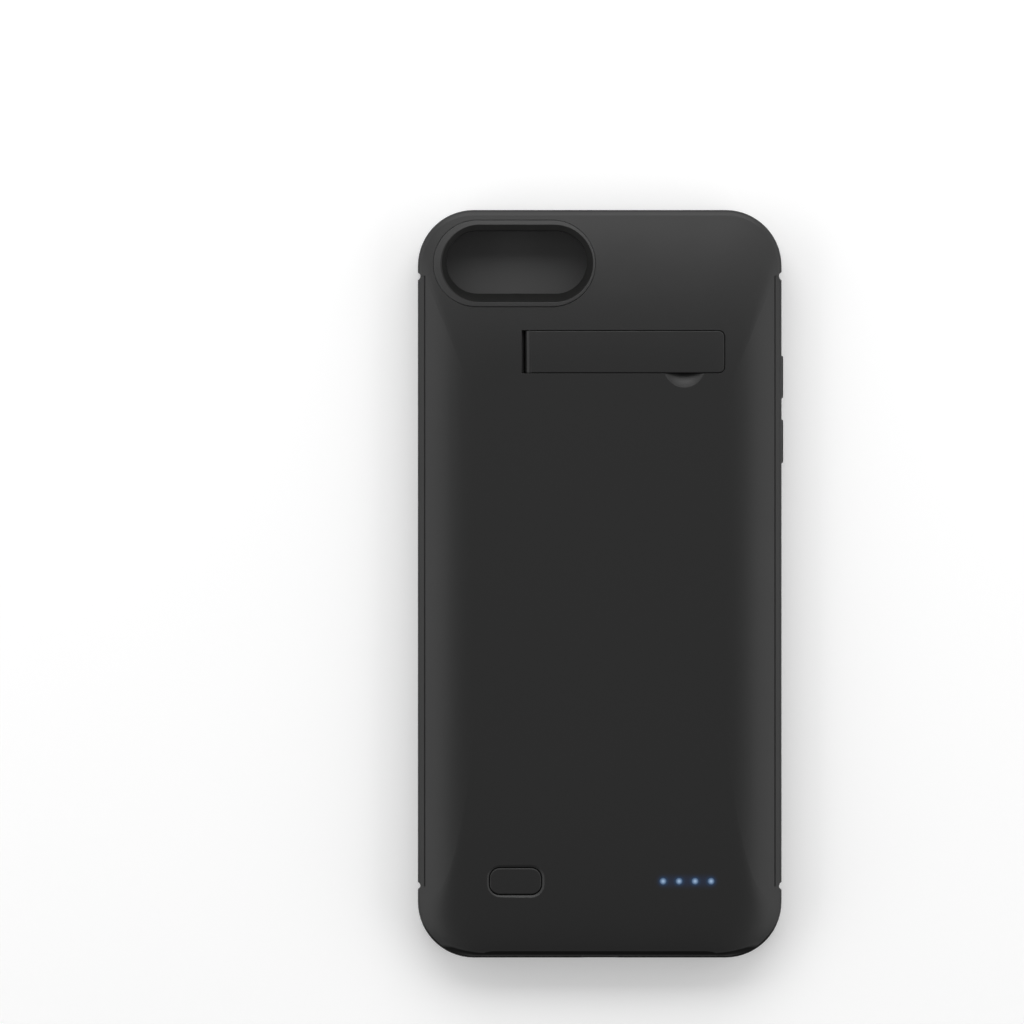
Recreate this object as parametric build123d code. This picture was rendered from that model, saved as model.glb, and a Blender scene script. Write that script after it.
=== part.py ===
from build123d import *
import math
import os

# Battery charging case, lying on the rim of its open front with its back up.
# X runs across the back, Y from the charging end to the camera end, Z from the front rim to the back.
# All sizes are in millimetres, and the origin is below the middle of the case, on the surface it lies on.

# Device that the pocket takes
device_width = 77.9
device_length = 158.2
device_thickness = 7.3
device_corner = 10.9
side_clearance = 0.15
end_clearance = 0.2
depth_clearance = 0.2

# Soft frame
side_wall = 1.4
top_wall = 2.6
chin = 5.3
lip_thickness = 0.8
lip_overlap = 1.4
lip_bevel = 1.1
front_round = 1.0
shoulder_round = 1.0
flange_thickness = 0.6
flange_overlap = 2.0
chin_wall = 1.4
chin_floor = 1.0
chin_hollow_margin = 10.1
chin_hollow_corner = 1.0

# Notches in the frame's sides
notch_width = 1.8
notch_depth = 0.6
notch_from_top = 14.75
notch_from_foot = 15.95

# Controls moulded into the frame's sides
control_height = 3.75
control_width = 3.2
pad_rise = 0.45
pad_taper = 35
upper_pad_length = 9.8
upper_pad_from_top = 37.15
lower_pad_length = 10.1
lower_pad_from_top = 51.5
tongue_length = 16.9
tongue_from_top = 39.7
tongue_slit = 0.5
switch_slot_length = 9.0
switch_slot_width = 3.8
switch_slot_from_top = 23.2

# Stack behind the device
tray_plate = 0.8
tape_thickness = 0.2
cell_thickness = 2.9
cell_room = 0.2
shell_wall = 1.1

# Crown of the back shell
shell_inset = 0.5
skirt_height = 0.7
skirt_bevel = 0.3
ledge_width = 1.2
ledge_slope = 27
ledge_drop = 0.05
ledge_groove_width = 0.25
ledge_groove_depth = 0.05
crown_steps = 10
side_reach = 12.5
side_power = 1
top_reach = 34.0
top_power = 1
foot_reach = 40.0
foot_power = 3
foot_bevel_rise = 1.4
foot_bevel_angle = 39
top_bevel_drop = 0.2
top_bevel_angle = 27
top_bevel_side_angle = 50
top_corner_growth = -4.0
foot_corner_growth = 2.5
tray_lip_wall = 2.0
tray_top_margin = 3.6
tray_clearance = 0.1

# Camera window
bezel_width = 36.0
bezel_height = 19.35
bezel_land = 1.0
bezel_proud = 0.2
bezel_edge_round = 0.15
bezel_clearance = 0.06
window_width = 31.2
window_height = 13.9
hole_shift_x = 0.5
hole_shift_y = 0.3
bezel_from_left = 3.5
bezel_from_top = 2.375

# Fold-out stand
stand_pocket_length = 45.2
stand_pocket_width = 9.6
stand_pocket_depth = 2.05
stand_from_right = 12.7
stand_below_bezel = 5.2
stand_side_gap = 0.15
stand_floor_gap = 0.2
stand_tip_gap = 0.2
stand_corner = 1.5
stand_edge_round = 0.2
hinge_depth = 1.65
hinge_from_wall = 2.1
barrel_radius = 1.5
barrel_gap = 0.2
pin_radius = 0.45
pin_hold = 1.4
pin_press_gap = 0.01
pin_running_gap = 0.05
boss_wall = 1.3
boss_floor = 0.85
boss_tray_gap = 0.35
scoop_chord = 8.6
scoop_reach = 3.1
scoop_depth = 1.65
scoop_from_tip = 9.1

# Push button
button_length = 12.85
button_width = 7.28
button_corner = 3.0
button_rim = 0.5
button_rim_depth = 0.25
button_gap = 0.2
button_sink = 0.1
button_edge_round = 0.3
button_from_left = 21.74
button_from_foot = 17.3
flange_lip = 0.7
flange_height = 0.4
flange_room = 0.1
press_travel = 0.25
plunger_radius = 0.75
plunger_gap = 0.1
plunger_depth = 0.05
switch_length = 3.6
switch_width = 3.0

# Status lights
light_count = 4
light_pitch = 3.55
light_radius = 0.7
light_gap = 0.04
last_light_from_right = 15.85
lights_from_foot = 17.3
pipe_bar_height = 0.6
pipe_bar_margin = 0.6
pipe_room = 0.2
led_length = 1.6
led_width = 0.8
led_height = 0.45

# Battery
cell_side_margin = 11.2
cell_boss_gap = 0.2
cell_from_foot = 24.75
cell_round = 0.9
fence_gap = 0.3
fence_wall = 0.8
fence_height = 1.2
seal_length = 3.4
seal_height = 0.2
seal_margin = 3.0
tab_length = 2.4
tab_width = 5.0
tab_height = 0.12
tab_spacing = 20.0

# Main board
board_thickness = 0.8
board_standoff = 0.4
board_side_margin = 12.5
board_from_foot = 3.05
board_cell_gap = 2.2
board_corner = 1.0
post_radius = 1.5
stake_radius = 0.6
stake_gap = 0.08
stake_head_radius = 1.1
stake_head_height = 0.35
stake_margin = 2.5

# Board components, each as length, width, height and place from the board's middle
chip_sizes = [(5.0, 5.0, 0.9), (4.0, 4.0, 0.8), (3.0, 3.0, 0.75)]
chip_places = [(-7.0, 0.5), (-0.5, -0.5), (-12.5, -1.5)]
coil_size = 4.4
coil_height = 1.1
coil_corner = 1.0
coil_place = (4.2, 1.0)
capacitor_size = (0.8, 1.6, 0.8)
capacitor_count = 6
capacitor_pitch = 1.5
capacitor_place = (8.0, -2.5)

# Charging inlet
port_width = 7.6
port_height = 2.5
port_depth = 4.3
port_corner = 0.7
port_sheet = 0.25
port_gap = 0.25
port_recess = 0.95
inlet_tongue_width = 5.4
inlet_tongue_height = 0.6
inlet_tongue_length = 3.6
inlet_contact_count = 5
inlet_contact_pitch = 0.8
inlet_contact_width = 0.4
inlet_contact_height = 0.1
inlet_contact_length = 2.8

# Plug for the device
plug_width = 6.65
plug_thickness = 1.5
plug_reach = 6.6
plug_nose = 0.4
plug_base_width = 14.0
plug_base_height = 4.4
plug_base_depth = 2.2
plug_window_gap = 0.3
tray_wall = 1.25
tray_wall_gap = 0.2
contact_count = 8
contact_pitch = 0.7
contact_width = 0.4
contact_length = 2.6
contact_height = 0.05
contact_from_tip = 1.0
flex_width = 2.4
flex_thickness = 0.15
flex_place = 5.4
flex_slot_gap = 0.3

# Sound ducts through the chin
duct_length = 11.0
duct_height = 2.2
duct_place = 19.0

# Overall sizes and levels that follow from the values above
pocket_width = device_width + 2 * side_clearance
pocket_length = device_length + 2 * end_clearance
pocket_corner = device_corner + side_clearance
case_width = pocket_width + 2 * side_wall
case_length = pocket_length + top_wall + chin
case_corner = pocket_corner + side_wall
right = case_width / 2
top_end = case_length / 2
pocket_foot = chin - top_end
pocket_top = top_end - top_wall
pocket_middle = (pocket_foot + pocket_top) / 2
tray_face = lip_thickness + device_thickness + depth_clearance
tray_top = tray_face + tray_plate
crown_base = tray_face + skirt_height
crown_top = tray_top + tape_thickness + cell_thickness + cell_room + shell_wall
base_half_width = right - shell_inset
base_half_length = top_end - shell_inset
base_corner = case_corner - shell_inset
device_middle = lip_thickness + (device_thickness + depth_clearance) / 2
board_bottom = tray_top + board_standoff
board_top = board_bottom + board_thickness
overcut = 1.0
above_all = crown_top + overcut
up_facing = 0.95

# Places on the back
window_x = bezel_from_left + bezel_width / 2 - right
window_y = top_end - bezel_from_top - bezel_height / 2
hole_x = window_x + hole_shift_x
hole_y = window_y + hole_shift_y
stand_tip = right - stand_from_right
stand_left = stand_tip - stand_pocket_length
stand_y = window_y - (bezel_height + stand_pocket_width) / 2 - stand_below_bezel
hinge_x = stand_left + hinge_from_wall
hinge_z = crown_top - hinge_depth
stand_floor = crown_top - stand_pocket_depth
leaf_width = stand_pocket_width - 2 * stand_side_gap
button_x = button_from_left - right
button_y = button_from_foot - top_end
light_y = lights_from_foot - top_end
light_xs = [right - last_light_from_right - i * light_pitch for i in range(light_count)]

# Board and cell outlines
inner_half_width = base_half_width - shell_wall
cell_half_width = inner_half_width - cell_side_margin
boss_foot = stand_y - stand_pocket_width / 2 - scoop_reach - boss_wall
cell_top = boss_foot - cell_boss_gap - fence_wall - fence_gap
cell_foot = cell_from_foot - top_end
board_half_width = inner_half_width - board_side_margin
board_foot = board_from_foot - top_end
board_head = cell_foot - board_cell_gap
board_middle = (board_foot + board_head) / 2

# Inlet and plug places
port_mouth = port_recess - top_end
port_back = port_mouth + port_depth
port_z = board_bottom - port_height / 2
chin_outer = chin_wall - top_end
chin_half_width = pocket_width / 2 - chin_hollow_margin
wall_foot = pocket_foot - tray_wall
plug_tip = pocket_foot + plug_reach


def block(x0, x1, y0, y1, z0, z1):
    return Pos((x0 + x1) / 2, (y0 + y1) / 2, (z0 + z1) / 2) * Box(x1 - x0, y1 - y0, z1 - z0)


def plate(width, length, corner, z0, z1, x=0, y=0):
    return extrude(Pos(x, y, z0) * RectangleRounded(width, length, corner), z1 - z0)


def stadium(width, height, z0, z1, x, y):
    return extrude(Pos(x, y, z0) * SlotOverall(width, height), z1 - z0)


def rod(radius, z0, z1, x, y):
    return Pos(x, y, (z0 + z1) / 2) * Cylinder(radius, z1 - z0)


def hinge_rod(radius, length):
    return Pos(hinge_x, stand_y, hinge_z) * Rot(90, 0, 0) * Cylinder(radius, length)


def end_view(x, z, y):
    # Plane that looks along -Y, with X to the right and Z up
    return Plane(origin=(x, y, z), x_dir=(1, 0, 0), z_dir=(0, -1, 0))


def side_view(sign, from_top):
    # Plane on the frame's side that looks outward, with Z up
    return Plane(
        origin=(sign * right, top_end - from_top, control_height),
        x_dir=(0, sign, 0),
        z_dir=(sign, 0, 0),
    )


def crown_section(u, grow):
    # Outline of the back at one level: it falls away slowly at the top end and steeply at the foot
    height = crown_base + (crown_top + grow - crown_base) * (1 - (1 - u) ** 2)
    half_width = base_half_width + grow - side_reach * u**side_power
    top_y = base_half_length + grow - top_reach * u**top_power
    foot_y = foot_reach * u**foot_power - base_half_length - grow
    corner = base_corner + grow
    outline = Rectangle(2 * half_width, top_y - foot_y)
    outline = fillet(outline.vertices().sort_by(Axis.Y)[-2:], corner + top_corner_growth * u)
    outline = fillet(outline.vertices().sort_by(Axis.Y)[:2], corner + foot_corner_growth * u)
    return Pos(0, (top_y + foot_y) / 2, height) * outline


def crown(grow=0.0):
    # The sections crowd towards the flat top, where the outline shrinks fastest
    shares = [math.sin(math.pi / 2 * i / crown_steps) for i in range(crown_steps + 1)]
    return loft([crown_section(u, grow) for u in shares])


def back_height(y, grow=0.0):
    # Height of the back along its middle line
    from_top = max(base_half_length + grow - y, 0.0)
    from_foot = max(base_half_length + grow + y, 0.0)
    u_top = (from_top / top_reach) ** (1 / top_power)
    u_foot = (from_foot / foot_reach) ** (1 / foot_power)
    u = min(u_top, u_foot, 1.0)
    return crown_base + (crown_top + grow - crown_base) * (1 - (1 - u) ** 2)


def back_plane(x, y, half, grow=0.0):
    # Plane through the back's middle line at y - half and y + half, with its origin at x and y
    low = back_height(y - half, grow)
    high = back_height(y + half, grow)
    slope = math.atan2(high - low, 2 * half)
    return Plane(
        origin=(x, y, (low + high) / 2),
        x_dir=(1, 0, 0),
        z_dir=(0, -math.sin(slope), math.cos(slope)),
    )


def top_edges(piece):
    # Border of the faces that look up with the back, without the seams between them
    faces = piece.faces().filter_by(lambda face: face.normal_at().Z > up_facing)
    edges = faces.edges()
    return [edge for edge in edges if sum(edge.is_same(other) for other in edges) == 1]


outer_crown = crown()
inner_crown = Pos(0, 0, -shell_wall) * outer_crown


def port_opening(gap):
    outline = RectangleRounded(port_width + 2 * gap, port_height + 2 * gap, port_corner + gap)
    return extrude(end_view(0, port_z, port_back + gap) * outline, port_depth + 2 * gap + chin)


def sound_ducts():
    outline = SlotOverall(duct_length, duct_height)
    ducts = []
    for x in (-duct_place, duct_place):
        start = end_view(x, device_middle, pocket_foot + overcut)
        ducts.append(extrude(start * outline, chin + 2 * overcut))
    return ducts


def side_notches():
    radius = notch_width**2 / (8 * notch_depth) + notch_depth / 2
    x = right + radius - notch_depth
    notches = []
    for y in (top_end - notch_from_top, notch_from_foot - top_end):
        notches.append(rod(radius, -overcut, above_all, x, y))
        notches.append(rod(radius, -overcut, above_all, -x, y))
    return notches


def bumper_frame():
    body = plate(case_width, case_length, case_corner, 0, tray_face)
    body = fillet(body.faces().sort_by(Axis.Z)[0].edges(), front_round)
    body = fillet(body.faces().sort_by(Axis.Z)[-1].edges(), shoulder_round)
    body -= plate(
        pocket_width,
        pocket_length,
        pocket_corner,
        lip_thickness,
        tray_face - flange_thickness,
        0,
        pocket_middle,
    )
    body -= plate(
        pocket_width - 2 * flange_overlap,
        pocket_length - 2 * flange_overlap,
        pocket_corner - flange_overlap,
        lip_thickness,
        tray_face + overcut,
        0,
        pocket_middle,
    )
    lip_opening = []
    for z, spread in ((lip_thickness, 0), (0, lip_bevel)):
        edge = lip_overlap - spread
        outline = RectangleRounded(pocket_width - 2 * edge, pocket_length - 2 * edge, pocket_corner - edge)
        lip_opening.append(Pos(0, pocket_middle, z) * outline)
    body -= loft(lip_opening)
    hollow_length = pocket_foot + flange_overlap - chin_outer
    body -= plate(
        2 * chin_half_width,
        hollow_length,
        chin_hollow_corner,
        chin_floor,
        tray_face + overcut,
        0,
        chin_outer + hollow_length / 2,
    )
    for tool in side_notches() + sound_ducts() + [port_opening(port_gap)]:
        body -= tool
    for length, place in ((upper_pad_length, upper_pad_from_top), (lower_pad_length, lower_pad_from_top)):
        outline = SlotOverall(length, control_width)
        body += extrude(side_view(1, place) * outline, pad_rise, taper=pad_taper)
    switch_slot = SlotOverall(switch_slot_length, switch_slot_width)
    body -= extrude(side_view(1, switch_slot_from_top) * switch_slot, 2 * side_wall, both=True)
    slit = SlotOverall(tongue_length + 2 * tongue_slit, control_width + 2 * tongue_slit)
    slit -= SlotOverall(tongue_length, control_width)
    slit -= Pos(tongue_length / 2, 0) * Rectangle(control_width, 2 * control_width)
    body -= extrude(side_view(-1, tongue_from_top) * slit, 2 * side_wall, both=True)
    return body


def stand_outline(left, tip, width, corner):
    outline = Pos((left + tip) / 2, stand_y) * Rectangle(tip - left, width)
    return fillet(outline.vertices().sort_by(Axis.X)[-2:], corner)


def thumb_scoop():
    half_chord = scoop_chord / 2
    rim_radius = half_chord**2 / (2 * scoop_reach) + scoop_reach / 2
    radius = rim_radius**2 / (2 * scoop_depth) + scoop_depth / 2
    y = stand_y - stand_pocket_width / 2 - scoop_reach + rim_radius
    return Pos(stand_tip - scoop_from_tip, y, back_height(y) - scoop_depth + radius) * Sphere(radius)


def stand_boss():
    # Thick pad inside the shell that holds the stand's pocket, its hinge and the thumb scoop
    head = stand_y + stand_pocket_width / 2 + pin_hold + boss_wall / 2
    bottom = stand_floor - boss_floor
    pad = block(stand_left - boss_wall, stand_tip + boss_wall, boss_foot, head, bottom, above_all)
    hinge_half = barrel_radius + barrel_gap + boss_wall
    hinge_foot = stand_y - stand_pocket_width / 2 - pin_hold - boss_wall / 2
    hinge_floor = tray_top + boss_tray_gap
    hinge_right = hinge_x + hinge_half
    return pad + block(hinge_x - hinge_half, hinge_right, hinge_foot, head, hinge_floor, above_all)


def shell_outline(inset_x=0.0, inset_y=0.0):
    width = 2 * (base_half_width - inset_x)
    length = 2 * (base_half_length - inset_y)
    return RectangleRounded(width, length, base_corner - inset_x)


def shell_rim():
    # Band under the crown, with its lower edge bevelled so that a groove shows above the soft frame
    band = extrude(Pos(0, 0, tray_face) * shell_outline(), skirt_height)
    return chamfer(band.faces().sort_by(Axis.Z)[0].edges(), skirt_bevel)


def tray_prism(gap, z0, z1):
    # Prism of the opening in the shell's rim that the tray closes, smaller by a gap all round
    foot = tray_lip_wall + gap - base_half_length
    head = base_half_length - tray_top_margin - gap
    width = 2 * (base_half_width - tray_lip_wall - gap)
    return plate(width, head - foot, base_corner - tray_lip_wall - gap, z0, z1, 0, (foot + head) / 2)


def side_ledges():
    # Along both sides, from notch to notch, a fine groove at the crown's foot and a sloping ridge
    foot = notch_from_foot - top_end
    head = top_end - notch_from_top
    inner = base_half_width - ledge_width
    ridge = inner + ledge_groove_width
    outer = base_half_width + overcut
    fall = math.tan(math.radians(ledge_slope))
    ridge_foot = crown_base - ledge_drop
    ridge_top = ridge_foot + (base_half_width - ridge) * fall
    groove_floor = ridge_top - ledge_groove_depth
    section = Polygon(
        (inner, groove_floor),
        (ridge, groove_floor),
        (ridge, ridge_top),
        (outer, ridge_foot - overcut * fall),
        (outer, above_all),
        (inner, above_all),
        align=None,
    )
    ledge = extrude(end_view(0, 0, head) * section, head - foot)
    return [ledge, mirror(ledge, Plane.YZ)]


def foot_bevel():
    # What the bevel along the charging end takes off the crown
    start = crown_base + foot_bevel_rise
    kept = extrude(Pos(0, 0, start) * shell_outline(), above_all - start, taper=90 - foot_bevel_angle)
    return block(-right, right, -top_end, notch_from_foot - top_end, start, above_all) - kept


def top_bevel():
    # What the bevel along the camera end and round its corners takes off the crown
    start = crown_base - top_bevel_drop
    rise = above_all - start
    inset_x = rise / math.tan(math.radians(top_bevel_side_angle))
    inset_y = rise / math.tan(math.radians(top_bevel_angle))
    low = Pos(0, 0, start) * shell_outline()
    high = Pos(0, 0, above_all) * shell_outline(inset_x, inset_y)
    kept = loft([low, high])
    return block(-right, right, top_end - notch_from_top, top_end, start, above_all) - kept


def back_shell():
    room = tray_prism(0, tray_face, tray_top) + (tray_prism(0, tray_top, above_all) & inner_crown)
    shell = shell_rim() + outer_crown - (room - stand_boss())
    pocket = extrude(
        Pos(0, 0, stand_floor) * stand_outline(stand_left, stand_tip, stand_pocket_width, stand_corner),
        above_all - stand_floor,
    )
    shell -= pocket
    shell -= hinge_rod(barrel_radius + barrel_gap, stand_pocket_width)
    shell -= hinge_rod(pin_radius + pin_press_gap, stand_pocket_width + 2 * pin_hold)
    shell -= thumb_scoop()
    shell -= stadium(
        bezel_width + 2 * bezel_clearance,
        bezel_height + 2 * bezel_clearance,
        tray_top,
        above_all,
        window_x,
        window_y,
    )
    for tool in button_hole():
        shell -= tool
    for x in light_xs:
        shell -= rod(light_radius + light_gap, board_top, above_all, x, light_y)
    for tool in side_ledges() + side_notches() + [foot_bevel(), top_bevel(), port_opening(port_gap)]:
        shell -= tool
    return shell


def button_hole():
    # Straight hole for the cap, and a rim whose slope goes on past the wall of that hole
    mouth_plane = back_plane(button_x, button_y, button_width / 2)
    rim = []
    for step in (2, 0):
        inset = step * button_rim
        length = button_length - 2 * inset
        width = button_width - 2 * inset
        outline = RectangleRounded(length, width, button_corner - inset)
        rim.append(mouth_plane.offset(-step * button_rim_depth) * outline)
    hole = plate(
        button_length - 2 * button_rim,
        button_width - 2 * button_rim,
        button_corner - button_rim,
        board_top,
        above_all,
        button_x,
        button_y,
    )
    return [loft(rim), extrude(rim[1], overcut), hole]


def inner_tray():
    tray = tray_prism(tray_clearance, tray_face, tray_top)
    tray += block(
        tray_wall_gap - chin_half_width,
        chin_half_width - tray_wall_gap,
        wall_foot,
        pocket_foot,
        chin_floor + tray_wall_gap,
        tray_face,
    )
    tray -= stadium(
        window_width,
        window_height,
        tray_face - overcut,
        tray_top + overcut,
        hole_x,
        hole_y,
    )
    for duct in sound_ducts():
        tray -= duct
    plug_window = SlotOverall(plug_width + 2 * plug_window_gap, plug_thickness + 2 * plug_window_gap)
    plug_start = end_view(0, device_middle, pocket_foot + overcut)
    tray -= extrude(plug_start * plug_window, tray_wall + 2 * overcut)
    tray -= port_opening(port_gap)
    slot_half = flex_width / 2 + flex_slot_gap
    flex_y = wall_foot - plug_base_depth / 2
    tray -= block(
        flex_place - slot_half,
        flex_place + slot_half,
        flex_y - flex_slot_gap - flex_thickness,
        flex_y + flex_slot_gap + flex_thickness,
        tray_face - overcut,
        tray_top + overcut,
    )
    tray += cell_fence()
    for x, y in stake_places():
        tray += rod(post_radius, tray_top, board_bottom, x, y)
        tray += rod(stake_radius, board_bottom, board_top, x, y)
        tray += rod(stake_head_radius, board_top, board_top + stake_head_height, x, y)
    return tray


def cell_fence():
    # Low wall round the cell, open at the end where its tabs come out
    inside = cell_half_width + fence_gap
    length = cell_top - cell_foot + 2 * fence_gap
    middle = (cell_top + cell_foot) / 2
    fence = Rectangle(2 * (inside + fence_wall), length + 2 * fence_wall) - Rectangle(2 * inside, length)
    fence -= Pos(0, -length / 2) * Rectangle(2 * (inside - seal_margin), 4 * fence_wall)
    return extrude(Pos(0, middle, tray_top) * fence, fence_height)


def stake_places():
    x = board_half_width - stake_margin
    foot = board_foot + stake_margin
    head = board_head - stake_margin
    return [(-x, foot), (-x, head), (x, foot), (x, head)]


def camera_bezel():
    post = stadium(bezel_width, bezel_height, tray_top, above_all, window_x, window_y)
    ring = post & crown(bezel_proud)
    rim_width = bezel_width - 2 * bezel_land
    rim_height = bezel_height - 2 * bezel_land
    rim_plane = back_plane(hole_x, window_y, rim_height / 2, bezel_proud)
    floor = Pos(hole_x, hole_y, tray_top) * SlotOverall(window_width, window_height)
    rim = rim_plane * SlotOverall(rim_width, rim_height / rim_plane.z_dir.Z)
    ring -= loft([floor, rim])
    ring -= extrude(rim, overcut)
    straight = (bezel_width - bezel_height) / 2
    edges = []
    for edge in top_edges(ring):
        middle = edge @ 0.5
        away = math.hypot(max(abs(middle.X - window_x) - straight, 0), middle.Y - window_y)
        if away > bezel_height / 2 - bezel_edge_round:
            edges.append(edge)
    return fillet(edges, bezel_edge_round)


def kickstand_leaf():
    tip = stand_tip - stand_tip_gap
    bottom = stand_floor + stand_floor_gap
    corner = stand_corner - stand_tip_gap
    outline = stand_outline(hinge_x, tip, leaf_width, corner)
    leaf = extrude(Pos(0, 0, bottom) * outline, above_all - bottom) & outer_crown
    edges = [edge for edge in top_edges(leaf) if edge.center().X > hinge_x]
    leaf = fillet(edges, stand_edge_round) + (hinge_rod(barrel_radius, leaf_width) & outer_crown)
    return leaf - hinge_rod(pin_radius + pin_running_gap, leaf_width)


def kickstand_pin():
    return hinge_rod(pin_radius, stand_pocket_width + 2 * pin_hold)


def cap_flange_top():
    # Just under the lowest part of the shell's inside over the cap's flange
    return back_height(button_y - button_width / 2 - flange_lip) - shell_wall - flange_room


def power_button():
    trim = 2 * (button_rim + button_gap)
    flange_top = cap_flange_top()
    cap_corner = button_corner - button_rim - button_gap
    cap = plate(
        button_length - trim,
        button_width - trim,
        cap_corner,
        flange_top,
        above_all,
        button_x,
        button_y,
    )
    cap &= crown(-button_sink)
    cap = fillet(top_edges(cap), button_edge_round)
    grow = 2 * flange_lip
    return cap + plate(
        button_length - trim + grow,
        button_width - trim + grow,
        cap_corner + flange_lip,
        flange_top - flange_height,
        flange_top,
        button_x,
        button_y,
    )


def switch_top():
    return cap_flange_top() - flange_height - press_travel - flange_room


def tact_switch():
    height = switch_top() - board_top
    body = Pos(button_x, button_y, board_top + height / 2) * Box(switch_length, switch_width, height)
    return body - rod(plunger_radius + plunger_gap, board_top, above_all, button_x, button_y)


def switch_plunger():
    bottom = switch_top() - plunger_depth
    return rod(plunger_radius, bottom, cap_flange_top() - flange_height, button_x, button_y)


def light_pipe():
    half = light_radius + pipe_bar_margin
    top = back_height(light_y - half) - shell_wall - pipe_room
    middle = (light_xs[0] + light_xs[-1]) / 2
    length = light_xs[0] - light_xs[-1] + 2 * half
    pipe = Pos(middle, light_y, top - pipe_bar_height / 2) * Box(length, 2 * half, pipe_bar_height)
    for x in light_xs:
        pipe += rod(light_radius, top, above_all, x, light_y) & outer_crown
    return pipe


def row_of_blocks(places, length, width, z0, z1):
    middle = (z0 + z1) / 2
    return Compound(children=[Pos(x, y, middle) * Box(length, width, z1 - z0) for x, y in places])


def status_leds():
    places = [(x, light_y) for x in light_xs]
    return row_of_blocks(places, led_length, led_width, board_top, board_top + led_height)


def main_board():
    board = plate(
        2 * board_half_width,
        board_head - board_foot,
        board_corner,
        board_bottom,
        board_top,
        0,
        board_middle,
    )
    for x, y in stake_places():
        board -= rod(stake_radius + stake_gap, board_bottom, board_top, x, y)
    return board


def controller_chips():
    chips = []
    for (length, width, height), (x, y) in zip(chip_sizes, chip_places):
        chips.append(Pos(x, y + board_middle, board_top + height / 2) * Box(length, width, height))
    return Compound(children=chips)


def boost_inductor():
    x, y = coil_place
    return plate(coil_size, coil_size, coil_corner, board_top, board_top + coil_height, x, y + board_middle)


def board_capacitors():
    length, width, height = capacitor_size
    x, y = capacitor_place
    places = [(x + i * capacitor_pitch, y + board_middle) for i in range(capacitor_count)]
    return row_of_blocks(places, length, width, board_top, board_top + height)


def charging_port_shell():
    sleeve = extrude(
        end_view(0, port_z, port_back) * RectangleRounded(port_width, port_height, port_corner), port_depth
    )
    inside = RectangleRounded(
        port_width - 2 * port_sheet, port_height - 2 * port_sheet, port_corner - port_sheet
    )
    return sleeve - extrude(end_view(0, port_z, port_back - port_sheet) * inside, port_depth)


def charging_port_tongue():
    back = port_back - port_sheet
    half = inlet_tongue_width / 2
    height = inlet_tongue_height / 2
    return block(-half, half, back - inlet_tongue_length, back, port_z - height, port_z + height)


def charging_port_contacts():
    y = port_back - port_sheet - inlet_tongue_length + inlet_contact_length / 2
    first = -(inlet_contact_count - 1) / 2 * inlet_contact_pitch
    places = [(first + i * inlet_contact_pitch, y) for i in range(inlet_contact_count)]
    bottom = port_z - inlet_tongue_height / 2 - inlet_contact_height
    top = bottom + inlet_contact_height
    return row_of_blocks(places, inlet_contact_width, inlet_contact_length, bottom, top)


def plug_base():
    half = plug_base_width / 2
    height = plug_base_height / 2
    return block(
        -half, half, wall_foot - plug_base_depth, wall_foot, device_middle - height, device_middle + height
    )


def plug_tongue():
    section = SlotOverall(plug_width, plug_thickness)
    tongue = extrude(end_view(0, device_middle, plug_tip) * section, plug_tip - wall_foot)
    nose = tongue.faces().sort_by(Axis.Y)[-1].edges()
    return fillet(nose, plug_nose)


def plug_contacts():
    y = plug_tip - contact_from_tip - contact_length / 2
    first = -(contact_count - 1) / 2 * contact_pitch
    places = [(first + i * contact_pitch, y) for i in range(contact_count)]
    half = plug_thickness / 2
    rows = []
    for bottom in (device_middle + half, device_middle - half - contact_height):
        row = row_of_blocks(places, contact_width, contact_length, bottom, bottom + contact_height)
        rows += row.children
    return Compound(children=rows)


def plug_flex():
    y = wall_foot - plug_base_depth / 2
    half = flex_width / 2
    return block(
        flex_place - half,
        flex_place + half,
        y - flex_thickness / 2,
        y + flex_thickness / 2,
        device_middle + plug_base_height / 2,
        board_bottom,
    )


def battery_cell():
    bottom = tray_top + tape_thickness
    cell = block(-cell_half_width, cell_half_width, cell_foot, cell_top, bottom, bottom + cell_thickness)
    cell = fillet(cell.edges(), cell_round)
    half = cell_half_width - seal_margin
    seal_foot = cell_foot - seal_length
    return cell + block(-half, half, seal_foot, cell_foot + cell_round, board_top, board_top + seal_height)


def battery_tabs():
    y = cell_foot - seal_length - tab_length / 2
    places = [(-tab_spacing / 2, y), (tab_spacing / 2, y)]
    return row_of_blocks(places, tab_width, tab_length, board_top, board_top + tab_height)


def cell_tape():
    inset = cell_round
    return block(
        inset - cell_half_width,
        cell_half_width - inset,
        cell_foot + inset,
        cell_top - inset,
        tray_top,
        tray_top + tape_thickness,
    )


nodes = {
    "bumper_frame": bumper_frame,
    "back_shell": back_shell,
    "inner_tray": inner_tray,
    "camera_bezel": camera_bezel,
    "kickstand_leaf": kickstand_leaf,
    "kickstand_pin": kickstand_pin,
    "power_button": power_button,
    "tact_switch": tact_switch,
    "switch_plunger": switch_plunger,
    "light_pipe": light_pipe,
    "status_leds": status_leds,
    "main_board": main_board,
    "controller_chips": controller_chips,
    "boost_inductor": boost_inductor,
    "board_capacitors": board_capacitors,
    "charging_port_shell": charging_port_shell,
    "charging_port_tongue": charging_port_tongue,
    "charging_port_contacts": charging_port_contacts,
    "plug_base": plug_base,
    "plug_tongue": plug_tongue,
    "plug_contacts": plug_contacts,
    "plug_flex": plug_flex,
    "battery_cell": battery_cell,
    "battery_tabs": battery_tabs,
    "cell_tape": cell_tape,
}

os.makedirs("parts", exist_ok=True)
for name, make in nodes.items():
    piece = make()
    export_step(piece, f"parts/{name}.step")
    print(f"{name:24s} {len(piece.solids())} solids, {piece.volume:9.2f} mm3")
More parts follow.
